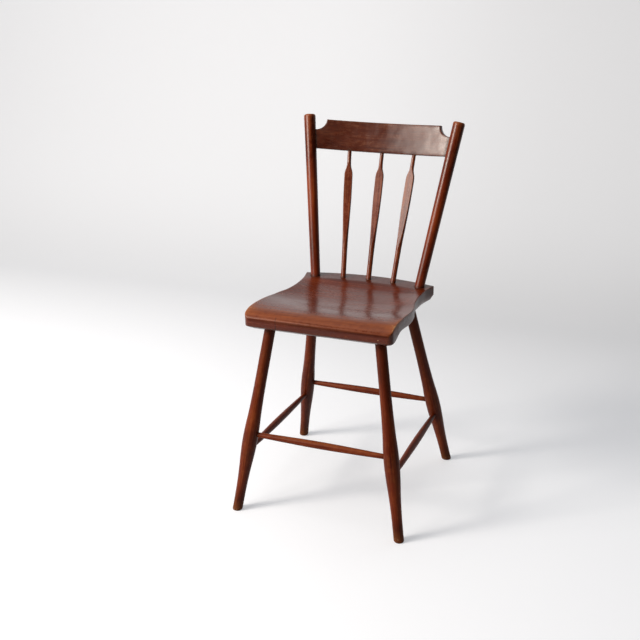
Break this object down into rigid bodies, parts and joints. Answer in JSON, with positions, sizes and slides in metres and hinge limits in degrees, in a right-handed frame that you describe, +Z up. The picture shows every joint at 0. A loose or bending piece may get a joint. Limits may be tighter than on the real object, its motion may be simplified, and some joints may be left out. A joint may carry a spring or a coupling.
{
  "type": "plank-seat arrow-back side chair",
  "caption": "Antique wooden side chair: dished plank seat with rolled front, swelled splayed legs joined by stretchers, leaning posts, scooped crest rail and arrow spindles, worn dark finish.",
  "frame": {"origin": "on the floor under the middle of the chair's overall box", "axes": "+Z up, the sitter faces -Y, +X to the right as seen from the front"},
  "size_m": [0.4212, 0.4836, 0.8631],
  "materials": {
    "stained_plank_wood": "worn half-gloss varnish over dark red-brown stain, rubbed lighter on the front roll",
    "stained_turned_wood": "worn half-gloss varnish over red-brown stain, rubbed lighter at the post tops and feet",
    "stained_board_wood": "worn half-gloss varnish over dark red-brown stain"
  },
  "bodies": {
    "root": {"seat_plank": "stained_plank_wood", "leg_front_left": "stained_turned_wood", "leg_front_right": "stained_turned_wood", "leg_rear_left": "stained_turned_wood", "leg_rear_right": "stained_turned_wood", "stretcher_front": "stained_turned_wood", "stretcher_rear": "stained_turned_wood", "stretcher_left": "stained_turned_wood", "stretcher_right": "stained_turned_wood", "back_post_left": "stained_turned_wood", "back_post_right": "stained_turned_wood", "crest_rail": "stained_board_wood", "arrow_spindle_left": "stained_turned_wood", "arrow_spindle_middle": "stained_turned_wood", "arrow_spindle_right": "stained_turned_wood"}
  },
  "joints": []
}
